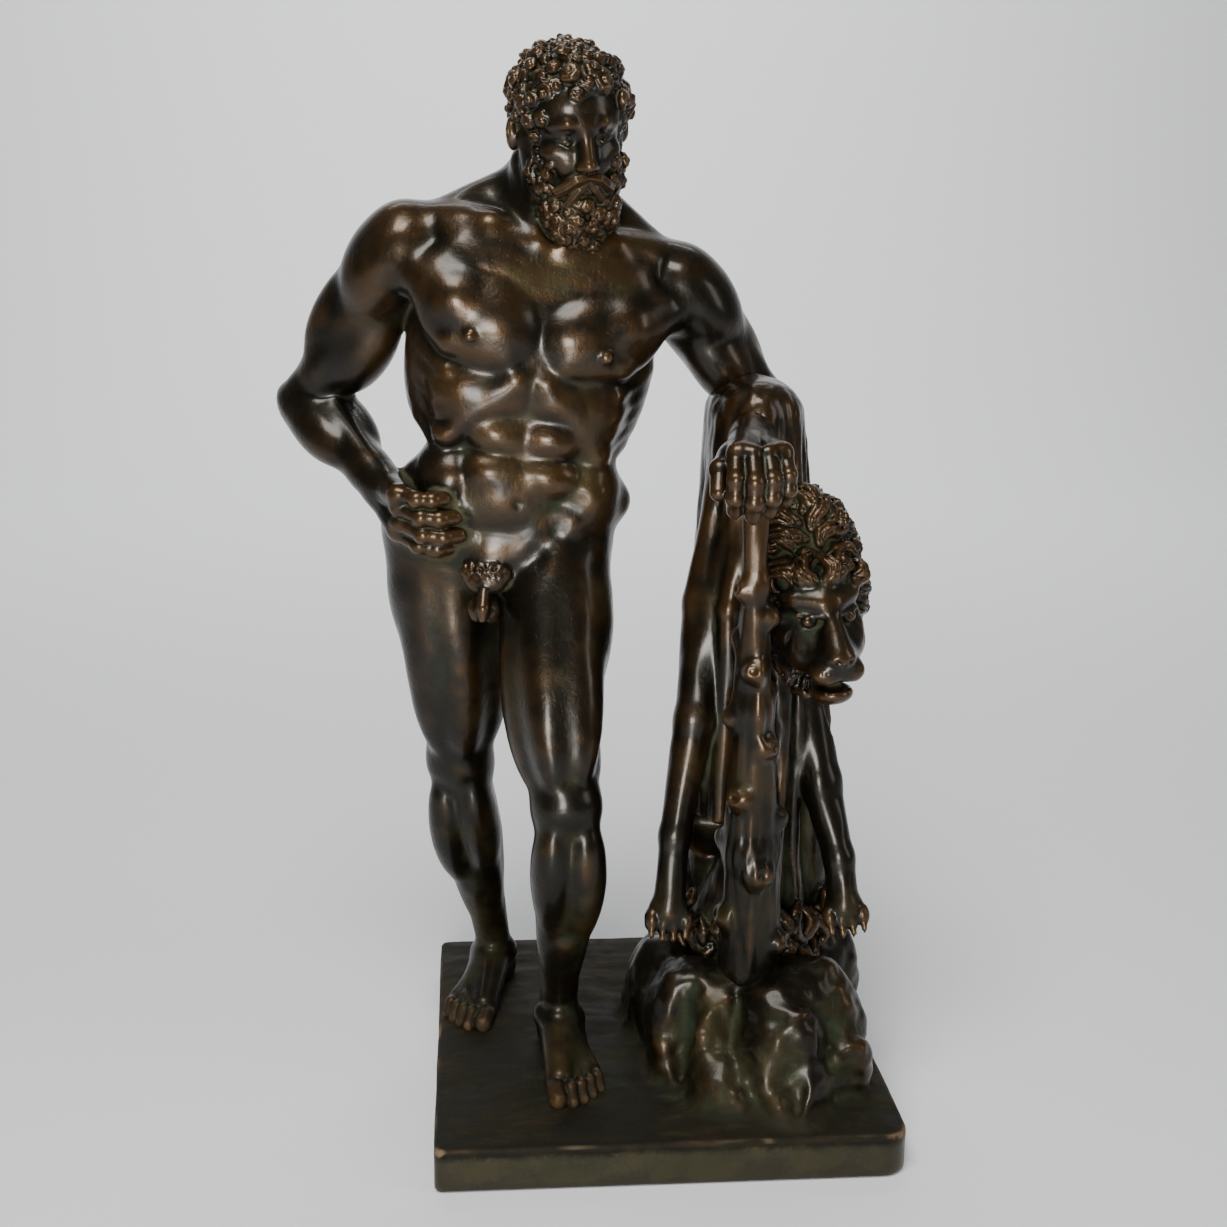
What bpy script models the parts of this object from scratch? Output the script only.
"""Bronze statue of a bearded hero with a club and a lion's skin, on a rock and a plinth.

One hollow casting, drawn as one closed body.
Metres, +Z up, origin at the centre of the plinth's underside, front towards -Y.
The figure is described in shares of its own height, measured from the top of the plinth.
"""
import math

import bmesh
import bpy
from mathutils import Matrix, Vector

# Driving sizes in metres
TOTAL_HEIGHT = 0.600
PLINTH_WIDTH = 0.257
PLINTH_DEPTH = 0.260
PLINTH_HEIGHT = 0.0253
PLINTH_CORNER = 0.003
WORN_CORNER = 0.012
PLINTH_EDGE = 0.0015
FIGURE = TOTAL_HEIGHT - PLINTH_HEIGHT
GRAIN = 0.0023
ROCK_GRAIN = 0.0045
ROCK_ROUGHNESS = 0.014
TRIANGLES = 9300

RIGHT = -1
LEFT = 1
SIDES = (RIGHT, LEFT)

for old in list(bpy.data.objects):
    bpy.data.objects.remove(old, do_unlink=True)

clay = bmesh.new()
settled = []


def settle(voxel, rounds, roughness=0):
    """Fuse and smooth what is shaped so far, keep it, and start on fresh clay."""
    global clay
    rough_piece = to_object(clay, "rough_piece")
    fuse = rough_piece.modifiers.new("fuse", "REMESH")
    fuse.mode = "VOXEL"
    fuse.voxel_size = voxel
    if roughness:
        grain = bpy.data.textures.new("rock_grain", "CLOUDS")
        grain.noise_scale = 0.035
        grain.noise_depth = 2
        break_up = rough_piece.modifiers.new("break_up", "DISPLACE")
        break_up.texture = grain
        break_up.texture_coords = "GLOBAL"
        break_up.strength = roughness
        break_up.mid_level = 0.5
    soften = rough_piece.modifiers.new("soften", "SMOOTH")
    soften.factor = 0.5
    soften.iterations = rounds
    now = rough_piece.evaluated_get(bpy.context.evaluated_depsgraph_get())
    settled.append(bpy.data.meshes.new_from_object(now))
    clay = bmesh.new()
    bpy.data.objects.remove(rough_piece, do_unlink=True)


def to_object(shape, name):
    mesh = bpy.data.meshes.new(name)
    shape.to_mesh(mesh)
    shape.free()
    thing = bpy.data.objects.new(name, mesh)
    bpy.context.scene.collection.objects.link(thing)
    return thing


def vec(x, y, z):
    return Vector((x, y, z))


def frame(side, up):
    """Right-handed axes: side, back and up, with up kept exactly."""
    up = up.normalized()
    back = up.cross(side).normalized()
    side = back.cross(up)
    return Matrix((side, back, up)).transposed()


def place(centre, turn, radii):
    """Matrix that stretches a unit shape by radii, turns it and moves it to centre."""
    stretch = Matrix.Diagonal(Vector(radii) * FIGURE)
    whole = (turn @ stretch).to_4x4()
    whole.translation = centre * FIGURE + vec(0, 0, PLINTH_HEIGHT)
    return whole


UPRIGHT = Matrix.Identity(3)


def ball(centre, radii, turn=UPRIGHT):
    bmesh.ops.create_uvsphere(clay, u_segments=20, v_segments=12, radius=1, matrix=place(centre, turn, radii))


def bead(centre, radius):
    bmesh.ops.create_icosphere(clay, subdivisions=2, radius=1, matrix=place(centre, UPRIGHT, (radius,) * 3))


def limb(start, end, start_radius, end_radius):
    """A tapered rod with round ends."""
    bead(start, start_radius)
    bead(end, end_radius)
    along = end - start
    turn = along.to_track_quat("Z", "Y").to_matrix()
    middle = place((start + end) / 2, turn, (1, 1, 1))
    bmesh.ops.create_cone(clay, cap_ends=True, segments=16, radius1=start_radius, radius2=end_radius,
                          depth=along.length, matrix=middle)


def chain(points, radii):
    for i in range(len(points) - 1):
        limb(points[i], points[i + 1], radii[i], radii[i + 1])


# Joints, x to the viewer's right, y away from the viewer, z up
PELVIS = vec(-0.160, 0.015, 0.528)
CHEST = vec(-0.126, 0.010, 0.712)
SKULL = vec(-0.094, -0.030, 0.915)
HIP = {RIGHT: vec(-0.213, 0.022, 0.538), LEFT: vec(-0.109, 0.004, 0.516)}
KNEE = {RIGHT: vec(-0.198, 0.042, 0.289), LEFT: vec(-0.096, -0.084, 0.283)}
ANKLE = {RIGHT: vec(-0.163, 0.108, 0.046), LEFT: vec(-0.100, -0.050, 0.046)}
TOES = {RIGHT: vec(-0.200, -0.010, 0.0), LEFT: vec(-0.084, -0.180, 0.0)}
ELBOW = {RIGHT: vec(-0.344, 0.100, 0.650), LEFT: vec(0.098, 0.058, 0.656)}
WRIST = {RIGHT: vec(-0.272, 0.010, 0.580), LEFT: vec(0.074, -0.084, 0.630)}
CLUB_TOP = vec(0.072, -0.124, 0.604)
CLUB_END = vec(0.086, -0.100, 0.120)

PELVIS_TURN = frame(vec(0.104, -0.018, -0.022), vec(0.02, -0.08, 1))
WAIST_TURN = frame(vec(0.27, 0, 0.004), vec(0.10, 0, 0.9))
CHEST_TURN = frame(vec(0.27, 0.010, 0.030), vec(0.03, 0, 0.20))
HEAD_TURN = Matrix.Rotation(math.radians(14), 3, "Z") @ Matrix.Rotation(math.radians(-5), 3, "Y") \
    @ Matrix.Rotation(math.radians(15), 3, "X")
HEAD = 0.135


def pelvis_at(x, y, z):
    return PELVIS + PELVIS_TURN @ vec(x, y, z)


def waist_at(x, y, z):
    return CHEST + WAIST_TURN @ vec(x, y, z)


def chest_at(x, y, z):
    return CHEST + CHEST_TURN @ vec(x, y, z)


def head_at(x, y, z):
    return SKULL + HEAD_TURN @ vec(x, y, z) * HEAD


SHOULDER = {side: chest_at(side * 0.128, 0.006, 0.078) for side in SIDES}


def trunk():
    ball(chest_at(0, 0, -0.002), (0.107, 0.067, 0.124), CHEST_TURN)
    ball(chest_at(0, 0.008, 0.060), (0.112, 0.054, 0.056), CHEST_TURN)
    ball(waist_at(0, -0.002, -0.112), (0.088, 0.058, 0.088), WAIST_TURN)
    ball(pelvis_at(0, 0.004, 0.018), (0.098, 0.058, 0.066), PELVIS_TURN)
    ball(chest_at(0, 0.030, 0.092), (0.060, 0.030, 0.056), CHEST_TURN)
    ball(pelvis_at(0, -0.027, 0.052), (0.064, 0.038, 0.052), PELVIS_TURN)
    ball(pelvis_at(0, -0.036, -0.012), (0.036, 0.028, 0.034), PELVIS_TURN)
    ball(pelvis_at(0, -0.066, -0.052), (0.0145, 0.012, 0.0155), PELVIS_TURN)
    limb(pelvis_at(0, -0.070, -0.036), pelvis_at(0.001, -0.079, -0.054), 0.0068, 0.0056)


def trunk_side(side):
    # Back: the broad muscle under the arm, shoulder blade, column beside the spine
    ball(chest_at(side * 0.088, 0.018, -0.008), (0.032, 0.044, 0.086), CHEST_TURN)
    ball(chest_at(side * 0.062, 0.042, 0.040), (0.048, 0.026, 0.050), CHEST_TURN)
    limb(chest_at(side * 0.048, 0.056, 0.022), chest_at(side * 0.114, 0.026, 0.056), 0.013, 0.017)
    chain([chest_at(side * 0.022, 0.044, 0.01), waist_at(side * 0.023, 0.042, -0.09),
           pelvis_at(side * 0.020, 0.040, 0.05)], [0.020, 0.020, 0.016])
    # Slope from neck to shoulder, hollow above the collar bone, the bone itself
    limb(chest_at(side * 0.018, 0.014, 0.146), chest_at(side * 0.108, 0.010, 0.096), 0.030, 0.024)
    ball(chest_at(side * 0.060, -0.014, 0.094), (0.054, 0.030, 0.028), CHEST_TURN)
    limb(chest_at(side * 0.014, -0.040, 0.100), chest_at(side * 0.104, -0.012, 0.116), 0.0075, 0.009)
    # Breast muscle, with its strand to the arm
    tilt = CHEST_TURN @ frame(vec(1, side * 0.22, side * 0.20), vec(-side * 0.20, 0, 1))
    ball(chest_at(side * 0.050, -0.036, 0.066), (0.056, 0.022, 0.036), CHEST_TURN)
    ball(chest_at(side * 0.056, -0.046, 0.022), (0.059, 0.028, 0.044), tilt)
    ball(chest_at(side * 0.040, -0.050, 0.012), (0.038, 0.023, 0.031), CHEST_TURN)
    limb(chest_at(side * 0.082, -0.042, 0.038), chest_at(side * 0.126, -0.012, 0.062), 0.027, 0.024)
    # Edge of the rib cage and the strips over the ribs
    limb(chest_at(side * 0.018, -0.058, -0.030), chest_at(side * 0.070, -0.040, -0.088), 0.011, 0.013)
    ball(chest_at(side * 0.052, -0.038, -0.046), (0.040, 0.025, 0.036), CHEST_TURN)
    for row in range(4):
        front = chest_at(side * (0.084 - 0.002 * row), -0.040 + 0.002 * row, -0.040 - 0.020 * row)
        rear = chest_at(side * (0.103 - 0.003 * row), -0.004, -0.024 - 0.020 * row)
        limb(front, rear, 0.0095, 0.011)
    # Three rows of the belly, then the roll above the hip
    for row in range(3):
        ball(waist_at(side * 0.0205, -0.051, -0.048 - 0.034 * row), (0.0225 + 0.001 * row, 0.015, 0.018),
             WAIST_TURN)
    ball(waist_at(side * 0.064, -0.012, -0.130), (0.036, 0.046, 0.042), WAIST_TURN)
    limb(waist_at(side * 0.050, -0.040, -0.156), waist_at(side * 0.088, -0.002, -0.138), 0.018, 0.022)
    ball(pelvis_at(side * 0.048, 0.034, -0.012), (0.052, 0.046, 0.056), PELVIS_TURN)
    ball(pelvis_at(side * 0.080, 0.010, 0.012), (0.032, 0.042, 0.052), PELVIS_TURN)


def leg(side):
    hip, knee, ankle = HIP[side], KNEE[side], ANKLE[side]
    heel = vec(ankle.x, ankle.y, 0)
    ahead = (TOES[side] - heel).normalized()
    across = ahead.cross(vec(0, 0, 1)).normalized()
    thigh_turn = frame(across, hip - knee)
    shin_turn = frame(across, knee - ankle)

    def thigh(share, x, y):
        return hip.lerp(knee, share) + thigh_turn @ vec(x * side, y, 0)

    def shin(share, x, y):
        return knee.lerp(ankle, share) + shin_turn @ vec(x * side, y, 0)

    limb(hip, knee, 0.056, 0.030)
    ball(thigh(0.05, 0.022, 0), (0.036, 0.044, 0.066), thigh_turn)
    ball(thigh(0.50, 0.025, -0.006), (0.031, 0.036, 0.112), thigh_turn)
    ball(thigh(0.45, 0, -0.027), (0.031, 0.029, 0.108), thigh_turn)
    ball(thigh(0.81, -0.018, -0.011), (0.023, 0.026, 0.042), thigh_turn)
    ball(thigh(0.80, 0.016, -0.010), (0.019, 0.023, 0.042), thigh_turn)
    ball(thigh(0.24, -0.022, 0.004), (0.036, 0.043, 0.080), thigh_turn)
    ball(thigh(0.48, -0.011, 0.027), (0.029, 0.028, 0.112), thigh_turn)
    ball(thigh(0.50, 0.015, 0.025), (0.027, 0.028, 0.112), thigh_turn)
    # Knee cap and the bone ends beside it
    ball(knee + shin_turn @ vec(0, -0.025, 0.004), (0.018, 0.012, 0.018), shin_turn)
    ball(knee + shin_turn @ vec(0, -0.018, -0.026), (0.012, 0.012, 0.016), shin_turn)
    for edge in (-0.017, 0.015):
        ball(knee + shin_turn @ vec(side * edge, -0.002, -0.004), (0.015, 0.024, 0.024), shin_turn)
    # Calf, shin bone and heel tendon
    limb(knee, ankle + vec(0, 0, 0.004), 0.029, 0.018)
    ball(shin(0.30, -0.016, 0.017), (0.023, 0.027, 0.066), shin_turn)
    ball(shin(0.27, 0.015, 0.016), (0.021, 0.025, 0.060), shin_turn)
    ball(shin(0.52, 0, 0.011), (0.026, 0.018, 0.070), shin_turn)
    ball(shin(0.34, 0.013, -0.010), (0.014, 0.017, 0.085), shin_turn)
    limb(shin(0.12, -0.004, -0.019), shin(0.9, -0.004, -0.009), 0.010, 0.008)
    limb(shin(0.6, 0, 0.018), ankle - vec(0, 0, 0.02) - ahead * 0.024, 0.010, 0.009)
    ball(foot_at(side, -0.020, 0, 0.018), (0.019, 0.022, 0.021), frame(across, vec(0, 0, 1)))
    bead(foot_at(side, 0, -0.017, 0.046), 0.009)
    bead(foot_at(side, -0.004, 0.017, 0.040), 0.009)
    limb(foot_at(side, 0.004, 0, 0.040), foot_at(side, 0.078, -0.012, 0.016), 0.021, 0.014)
    limb(foot_at(side, 0, 0.006, 0.030), foot_at(side, 0.072, 0.014, 0.012), 0.019, 0.011)
    limb(foot_at(side, -0.01, 0.006, 0.014), foot_at(side, 0.066, 0.022, 0.009), 0.013, 0.010)


def foot_at(side, forward, out, up):
    """Point measured from the heel: towards the toes, outwards and up."""
    heel = vec(ANKLE[side].x, ANKLE[side].y, 0)
    ahead = (TOES[side] - heel).normalized()
    outward = ahead.cross(vec(0, 0, 1)).normalized() * side
    if outward.x * side < 0:
        outward = -outward
    return heel + ahead * forward + outward * out + vec(0, 0, up)


def toes(side):
    for toe in range(5):
        root = (0.084, 0.086, 0.083, 0.078, 0.071)[toe]
        out = (-0.017, -0.004, 0.006, 0.015, 0.024)[toe]
        reach = (0.0225, 0.0218, 0.0195, 0.0173, 0.0143)[toe]
        thick = (0.0095, 0.0068, 0.0064, 0.0060, 0.0058)[toe]
        tip = foot_at(side, root + reach, out * 1.08, thick)
        limb(foot_at(side, root - 0.012, out, 0.013), tip, thick * 1.1, thick)


def arm(side):
    shoulder, elbow, wrist = SHOULDER[side], ELBOW[side], WRIST[side]
    upper = (shoulder - elbow).normalized()
    lower = (elbow - wrist).normalized()
    inside = (wrist - elbow) - upper * (wrist - elbow).dot(upper)
    inside.normalize()
    across = inside.cross(upper)
    if across.dot(shoulder - CHEST) < 0:
        across = -across
    upper_turn = frame(across, upper)
    lower_turn = frame(across, lower)
    lower_back = upper - lower * upper.dot(lower)
    lower_back.normalize()

    def upper_at(share, x, y):
        return shoulder.lerp(elbow, share) + across * x - inside * y

    def lower_at(share, x, y):
        return elbow.lerp(wrist, share) + across * x + lower_back * y

    limb(shoulder, elbow, 0.040, 0.029)
    out = vec(side, 0, 0.25).normalized()
    cap_turn = frame(vec(1, 0, 0.25 * side), upper)
    ball(shoulder.lerp(elbow, 0.12) + out * 0.012, (0.038, 0.047, 0.062), cap_turn)
    for edge in (-0.023, 0.023):
        ball(shoulder.lerp(elbow, 0.16) + out * 0.006 + vec(0, edge, 0), (0.028, 0.025, 0.051), cap_turn)
    ball(upper_at(0.56, -0.002, -0.019), (0.030, 0.029, 0.056), upper_turn)
    ball(upper_at(0.48, 0.015, 0.016), (0.024, 0.028, 0.066), upper_turn)
    ball(upper_at(0.54, -0.014, 0.016), (0.023, 0.027, 0.060), upper_turn)
    ball(upper_at(0.74, 0.017, -0.004), (0.015, 0.018, 0.036), upper_turn)
    limb(elbow, wrist, 0.030, 0.020)
    ball(lower_at(0.28, 0.012, -0.004), (0.026, 0.027, 0.056), lower_turn)
    ball(lower_at(0.32, -0.012, 0.004), (0.025, 0.027, 0.056), lower_turn)
    ball(lower_at(0.04, 0.015, -0.008), (0.016, 0.018, 0.038), lower_turn)
    bead(elbow + lower * 0.002 - upper * 0.010, 0.016)
    limb(lower_at(0.85, 0, 0), wrist - lower * 0.008, 0.019, 0.018)


def hand(wrist, ahead, palm, bends, thumb_angle, thumb_bend):
    """Palm, four fingers bent joint by joint, and a thumb; thumbs point to the figure's middle."""
    size = 1.10
    ahead = ahead.normalized()
    palm = (palm - ahead * palm.dot(ahead)).normalized()
    thumb_side = -ahead.cross(palm)

    def at(forward, sideways, inward):
        return wrist + (ahead * forward + thumb_side * sideways + palm * inward) * size

    limb(at(0.004, 0.006, 0), at(0.042, 0.015, 0), 0.0150 * size, 0.0130 * size)
    limb(at(0.004, -0.004, 0), at(0.040, -0.015, 0), 0.0140 * size, 0.0120 * size)
    bead(at(0.018, 0.017, 0.006), 0.0115 * size)
    for finger in range(4):
        length = (1.0, 1.08, 1.0, 0.82)[finger] * size
        thick = (0.0080, 0.0083, 0.0080, 0.0071)[finger] * size
        heading = (ahead + thumb_side * 0.096 * (1.2 - finger)).normalized()
        joints = [at(0.048 - 0.003 * abs(finger - 1), 0.0205 - 0.0134 * finger, 0)]
        turned = 0
        for bone, bend in zip((0.0230, 0.0160, 0.0120), bends):
            turned += bend
            step = heading * math.cos(turned) + palm * math.sin(turned)
            joints.append(joints[-1] + step * bone * length)
        chain(joints, [thick * 1.08, thick, thick * 0.95, thick * 0.86])
    root = at(0.014, 0.020, 0.004)
    first = ahead * math.cos(thumb_angle) + thumb_side * math.sin(thumb_angle) + palm * 0.35
    middle = root + first.normalized() * 0.026 * size
    second = ahead * math.cos(thumb_angle * 0.4) + thumb_side * math.sin(thumb_angle * 0.4)
    second += palm * (0.35 + thumb_bend)
    tip = middle + second.normalized() * 0.022 * size
    chain([root, middle, tip], [0.0108 * size, 0.0088 * size, 0.0074 * size])


def face():
    ball(head_at(0, 0.08, 0.12), [r * HEAD for r in (0.34, 0.41, 0.36)], HEAD_TURN)
    ball(head_at(0, -0.10, -0.10), [r * HEAD for r in (0.24, 0.25, 0.38)], HEAD_TURN)
    ball(head_at(0, -0.20, 0.17), [r * HEAD for r in (0.24, 0.14, 0.14)], HEAD_TURN)
    limb(head_at(0, -0.33, 0.06), head_at(0, -0.42, -0.16), 0.032 * HEAD, 0.050 * HEAD)
    ball(head_at(0, -0.28, -0.26), [r * HEAD for r in (0.12, 0.10, 0.10)], HEAD_TURN)
    for side in SIDES:
        limb(head_at(side * 0.045, -0.345, 0.085), head_at(side * 0.20, -0.275, 0.085), 0.04 * HEAD, 0.03 * HEAD)
        ball(head_at(side * 0.19, -0.22, -0.12), [r * HEAD for r in (0.09, 0.10, 0.08)], HEAD_TURN)
        bead(head_at(side * 0.122, -0.255, 0), 0.058 * HEAD)
        limb(head_at(side * 0.02, -0.40, -0.25), head_at(side * 0.15, -0.33, -0.31), 0.040 * HEAD, 0.040 * HEAD)
        limb(head_at(side * 0.15, -0.33, -0.31), head_at(side * 0.20, -0.27, -0.44), 0.040 * HEAD, 0.03 * HEAD)


def curls(centre, radii, count, size, kept):
    """Round curls spread evenly over an egg-shaped mass, where kept(direction) is true."""
    for i in range(count):
        up = 1 - 2 * (i + 0.5) / count
        around = i * math.pi * (3 - math.sqrt(5))
        flat = math.sqrt(1 - up * up)
        way = vec(flat * math.cos(around), flat * math.sin(around), up)
        if kept(way):
            spot = vec(centre[0] + way.x * radii[0], centre[1] + way.y * radii[1], centre[2] + way.z * radii[2])
            bead(head_at(spot.x, spot.y, spot.z), size * (0.85 + 0.3 * (i * 0.618 % 1)) * HEAD)


def hair():
    ball(head_at(0, 0.07, 0.13), [r * HEAD for r in (0.37, 0.44, 0.37)], HEAD_TURN)
    ball(head_at(0, 0.26, -0.12), [r * HEAD for r in (0.27, 0.19, 0.24)], HEAD_TURN)
    ball(head_at(0, -0.20, -0.52), [r * HEAD for r in (0.23, 0.18, 0.25)], HEAD_TURN)
    for side in SIDES:
        limb(head_at(side * 0.31, -0.02, 0), head_at(side * 0.20, -0.10, -0.40), 0.09 * HEAD, 0.13 * HEAD)
    curls((0, 0.07, 0.13), (0.38, 0.45, 0.38), 70, 0.105,
          lambda way: way.z > -0.45 and not (way.y < -0.45 and way.z < 0.42 and abs(way.x) < 0.75))
    curls((0, 0.27, -0.14), (0.28, 0.19, 0.24), 26, 0.095, lambda way: way.y > 0.1)
    curls((0, -0.20, -0.52), (0.23, 0.18, 0.25), 36, 0.090, lambda way: way.z < 0.35 and way.y < 0.5)


def neck():
    limb(chest_at(0, 0.010, 0.090), SKULL + HEAD_TURN @ vec(0, 0.016, -0.035), 0.050, 0.044)
    for side in SIDES:
        limb(SKULL + HEAD_TURN @ vec(side * 0.036, 0.016, -0.036), chest_at(side * 0.012, -0.038, 0.102),
             0.013, 0.009)


def club():
    """Thin end under the hand, thick end on the rock, with the stumps of cut twigs."""
    shares = (0, 0.03, 0.2, 0.45, 0.75, 1)
    thick = (0.013, 0.012, 0.0125, 0.018, 0.027, 0.030)
    chain([CLUB_TOP.lerp(CLUB_END, share) for share in shares], thick)
    ball(CLUB_TOP, (0.016, 0.016, 0.011))
    turn = (CLUB_END - CLUB_TOP).to_track_quat("Z", "Y").to_matrix()
    for knot in range(11):
        share = 0.25 + 0.068 * knot
        around = 2.4 * knot
        out = 0.008 + 0.022 * share
        spot = turn @ vec(math.cos(around) * out, math.sin(around) * out, 0)
        bead(CLUB_TOP.lerp(CLUB_END, share) + spot, 0.0100)


# Hanging skin
SKIN_TOP = 0.700
SKIN_END = 0.105
ARM_LEVEL = 0.652
ROOF = 0.036
MASK = vec(0.140, -0.072, 0.476)
MASK_SIZE = 1.35
LOCKS = 44


def skin_ring(z, count):
    """One level of the hanging skin: a pleated ring that widens towards the rock."""
    fall = (SKIN_TOP - z) / (SKIN_TOP - SKIN_END)
    above = max(0, (z - ARM_LEVEL) / ROOF)
    roof = math.sqrt(max(0.0004, 1 - above * above))
    wide = 0.046 * roof if above else 0.046 + 0.030 * fall
    deep = 0.066 * math.sqrt(roof) if above else 0.066 + 0.018 * fall
    depth = min(1, 0.15 + 1.8 * fall)
    ring = []
    for i in range(count):
        angle = 2 * math.pi * i / count
        drift = angle + 0.35 * math.sin(2 * angle + 1) + 0.25 * math.sin(3 * angle + 5 * fall)
        fine = abs(math.sin(4.5 * drift + 0.8 * math.sin(3 * fall))) ** 0.7
        broad = math.sin(3 * drift + 1.5 * fall + 0.5)
        out = 1 + depth * (0.30 * (fine - 0.65) + 0.08 * broad)
        ring.append(vec(0.090 + 0.012 * fall + wide * out * math.cos(angle), 0.006 + deep * out * math.sin(angle), z))
    return ring


def loft(rings):
    """Closed body through a stack of rings, given from the top down."""
    rows = []
    for ring in rings:
        rows.append([clay.verts.new(p * FIGURE + vec(0, 0, PLINTH_HEIGHT)) for p in ring])
    count = len(rows[0])
    for upper, lower in zip(rows, rows[1:]):
        for i in range(count):
            j = (i + 1) % count
            clay.faces.new((upper[i], lower[i], lower[j], upper[j]))
    clay.faces.new(rows[0])
    clay.faces.new(list(reversed(rows[-1])))


def lion_skin():
    levels = 40
    roof_levels = [ARM_LEVEL + ROOF * math.cos(math.pi / 2 * i / 6) for i in range(6)]
    fall_levels = [ARM_LEVEL + (SKIN_END - ARM_LEVEL) * i / levels for i in range(levels + 1)]
    loft([skin_ring(z, 96) for z in roof_levels + fall_levels])
    mask_and_mane()
    # Legs of the skin, each with a paw
    paw((vec(0.046, -0.030, 0.50), vec(0.030, -0.062, 0.36), vec(0.010, -0.088, 0.25), vec(0.004, -0.104, 0.180)))
    paw((vec(0.140, -0.020, 0.40), vec(0.160, -0.052, 0.29), vec(0.176, -0.078, 0.22), vec(0.180, -0.092, 0.175)))


def mask_and_mane():
    """Lion's face under a mane of thick locks, half sunk in the hanging skin."""
    turn = frame(vec(1, 0.22, 0.08), vec(-0.10, 0.10, 1))

    def mask(centre, radii):
        ball(MASK + turn @ vec(*centre) * MASK_SIZE, [r * MASK_SIZE for r in radii], turn)

    mask((0, 0.012, 0.018), (0.036, 0.028, 0.062))
    for i in range(LOCKS):
        up = 1 - 1.5 * (i + 0.5) / LOCKS
        around = i * math.pi * (3 - math.sqrt(5))
        flat = math.sqrt(1 - up * up)
        if math.sin(around) * flat < 0.4:
            spot = (0.036 * flat * math.cos(around), 0.012 + 0.028 * flat * math.sin(around), 0.018 + 0.062 * up)
            mask(spot, (0.0085, 0.0085, 0.0125))
    # Skull, muzzle, jaw, then brow, cheek, lip and ear of each side
    mask((0, -0.004, -0.008), (0.027, 0.024, 0.028))
    mask((0, -0.026, -0.040), (0.0165, 0.018, 0.016))
    mask((0, -0.024, -0.058), (0.0125, 0.0135, 0.0075))
    for side in SIDES:
        mask((side * 0.012, -0.024, 0.001), (0.009, 0.006, 0.005))
        mask((side * 0.020, -0.014, -0.028), (0.011, 0.012, 0.014))
        mask((side * 0.0085, -0.036, -0.0455), (0.0095, 0.0085, 0.0080))
        mask((side * 0.026, -0.006, 0.019), (0.0090, 0.0060, 0.0100))


def paw(path):
    chain(path, (0.026, 0.020, 0.015, 0.016))
    end = path[-1]
    for claw in range(4):
        start = end + vec((claw - 1.5) * 0.0095, -0.010 + 0.002 * abs(claw - 1.5), -0.010)
        limb(start, start + vec(0, -0.004, -0.013), 0.0070, 0.0055)


def rock():
    """Overlapping boulders, each a squat many-sided block tilted its own way."""
    boulders = (
        (0.110, 0.030, 0.030, 0.100, 1.15), (0.035, 0.020, 0.030, 0.072, 1.20), (0.150, -0.020, 0.055, 0.062, 1.50),
        (0.150, -0.095, 0.040, 0.060, 1.50), (0.105, -0.135, 0.030, 0.056, 1.70), (0.045, -0.095, 0.030, 0.064, 1.50),
        (0.100, -0.060, 0.060, 0.078, 1.00), (0.015, -0.045, 0.060, 0.042, 1.60), (0.070, 0.085, 0.050, 0.062, 1.50),
        (0.150, 0.070, 0.060, 0.055, 1.40), (0.165, 0.030, 0.050, 0.044, 1.80), (0.165, -0.140, 0.015, 0.042, 1.30),
        (0.125, -0.165, 0.005, 0.044, 1.20), (0.055, -0.155, 0.005, 0.040, 1.20),
    )
    for number, (x, y, z, radius, tall) in enumerate(boulders):
        turn = Matrix.Rotation(1.3 * number, 3, "Z") @ Matrix.Rotation(0.25, 3, "X")
        block = place(vec(x, y, z), turn, (radius, radius, radius * tall))
        bmesh.ops.create_icosphere(clay, subdivisions=1, radius=1.06, matrix=block)


def ground():
    """Low swells of earth under the feet, kept inside the plinth's edge."""
    for i in range(24):
        around = i * math.pi * (3 - math.sqrt(5))
        out = 0.165 * math.sqrt(i / 24)
        ball(vec(out * math.cos(around), out * math.sin(around), -0.010), (0.050, 0.050, 0.013))


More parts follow.
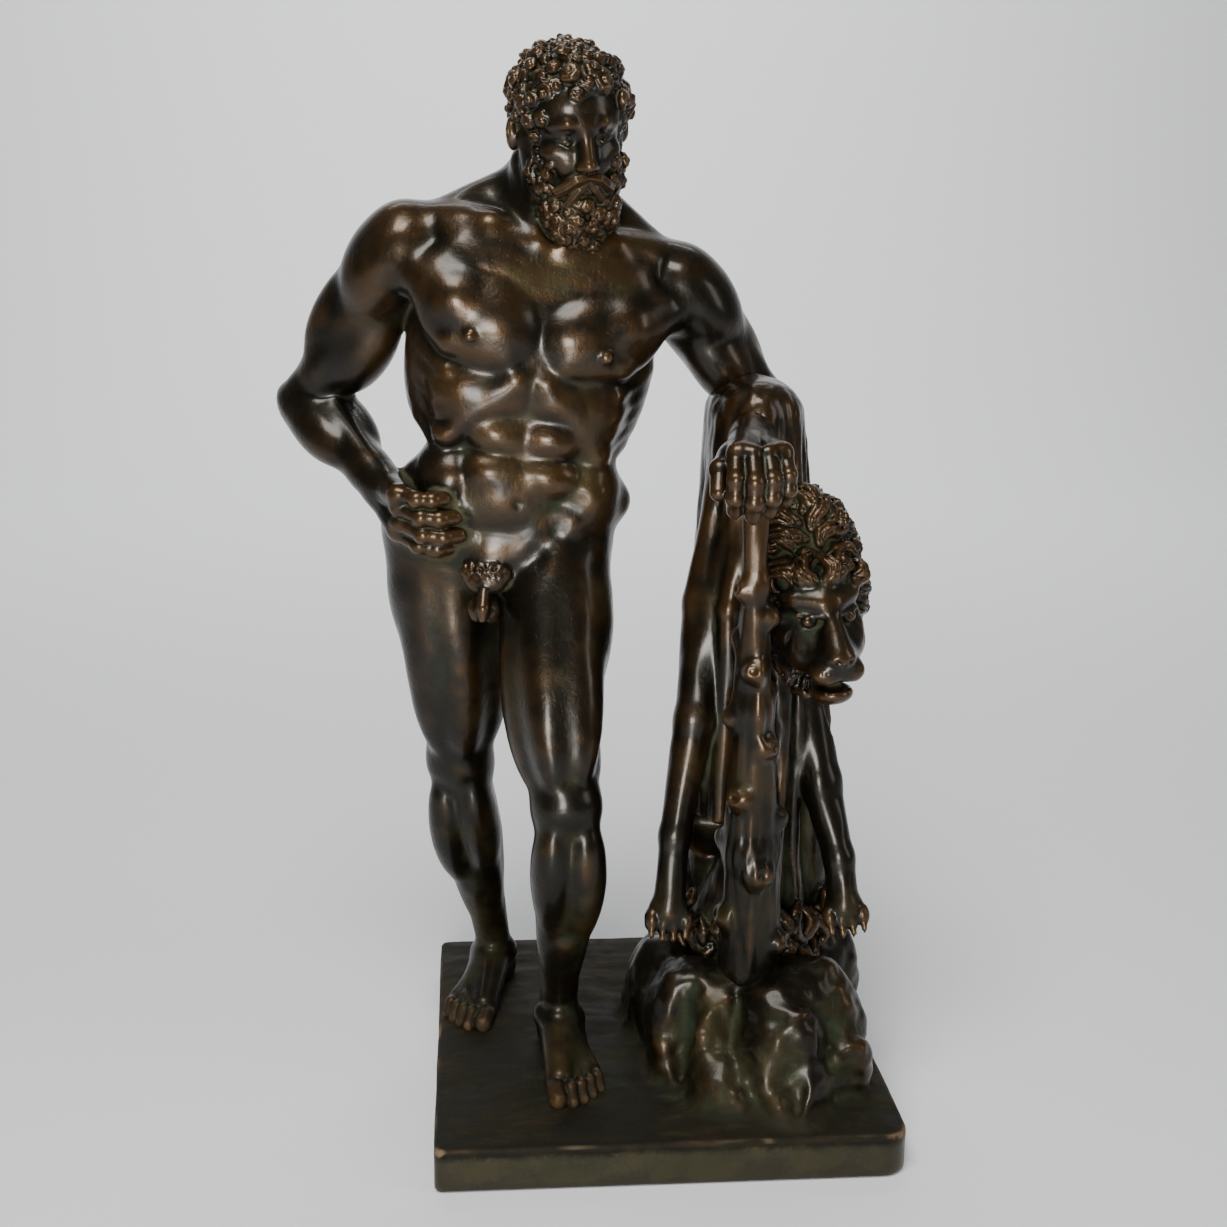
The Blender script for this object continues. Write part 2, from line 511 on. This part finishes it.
def plinth():
    """Slab with softened edges; its front right corner is worn round."""
    outline = []
    corners = ((1, 1, PLINTH_CORNER), (-1, 1, PLINTH_CORNER), (-1, -1, PLINTH_CORNER), (1, -1, WORN_CORNER))
    for number, (sx, sy, radius) in enumerate(corners):
        centre = vec(sx * (PLINTH_WIDTH / 2 - radius), sy * (PLINTH_DEPTH / 2 - radius), 0)
        for i in range(5):
            angle = math.pi / 2 * (number + i / 4)
            outline.append(centre + vec(math.cos(angle), math.sin(angle), 0) * radius)
    slab = bmesh.new()
    base = slab.faces.new([slab.verts.new(p) for p in outline])
    grown = bmesh.ops.extrude_face_region(slab, geom=[base])
    top = [item for item in grown["geom"] if isinstance(item, bmesh.types.BMVert)]
    bmesh.ops.translate(slab, verts=top, vec=vec(0, 0, PLINTH_HEIGHT))
    rim = [edge for edge in slab.edges if all(v.co.z > PLINTH_HEIGHT / 2 for v in edge.verts)]
    bmesh.ops.bevel(slab, geom=rim, offset=PLINTH_EDGE, segments=1, affect="EDGES")
    bmesh.ops.recalc_face_normals(slab, faces=slab.faces)
    return to_object(slab, "plinth_slab")


# Clay of everything above the slab: the rough rock, the smooth body, then what is sharper
rock()
settle(ROCK_GRAIN, 2, ROCK_ROUGHNESS)
trunk()
for side in SIDES:
    trunk_side(side)
    leg(side)
    arm(side)
neck()
settle(GRAIN, 9)
hand(WRIST[RIGHT], vec(0.030, -0.058, -0.032), vec(1, 0.15, 0), (0.45, 0.6, 0.4), 0.9, 0.1)
hand(WRIST[LEFT], vec(0, -0.060, -0.002), vec(0, -0.1, -1), (0.8, 0.8, 0.5), 0.5, 0.8)
for side in SIDES:
    toes(side)
face()
hair()
club()
lion_skin()
ground()
for piece in settled:
    clay.from_mesh(piece)
statue = to_object(clay, "hercules_statue")

# Fused and faceted, cut off inside the slab, then joined to it
fuse = statue.modifiers.new("fuse", "REMESH")
fuse.mode = "VOXEL"
fuse.voxel_size = GRAIN
soften = statue.modifiers.new("soften", "SMOOTH")
soften.factor = 0.5
soften.iterations = 2

dense = statue.evaluated_get(bpy.context.evaluated_depsgraph_get()).to_mesh()
dense.calc_loop_triangles()
share = TRIANGLES / len(dense.loop_triangles)

facet = statue.modifiers.new("facet", "DECIMATE")
facet.ratio = share

below = bmesh.new()
bmesh.ops.create_cube(below, size=1, matrix=Matrix.Translation((0, 0, PLINTH_HEIGHT / 2 - 0.5)))
cutter = to_object(below, "below_slab")
cutter.hide_render = True
trim = statue.modifiers.new("trim", "BOOLEAN")
trim.operation = "DIFFERENCE"
trim.solver = "EXACT"
trim.object = cutter

slab = plinth()
slab.hide_render = True
join = statue.modifiers.new("join", "BOOLEAN")
join.operation = "UNION"
join.solver = "EXACT"
join.object = slab

bronze = bpy.data.materials.new("bronze")
bronze.use_nodes = True
surface = bronze.node_tree.nodes["Principled BSDF"]
surface.inputs["Base Color"].default_value = (0.055, 0.036, 0.022, 1)
surface.inputs["Metallic"].default_value = 1.0
surface.inputs["Roughness"].default_value = 0.35
statue.data.materials.append(bronze)
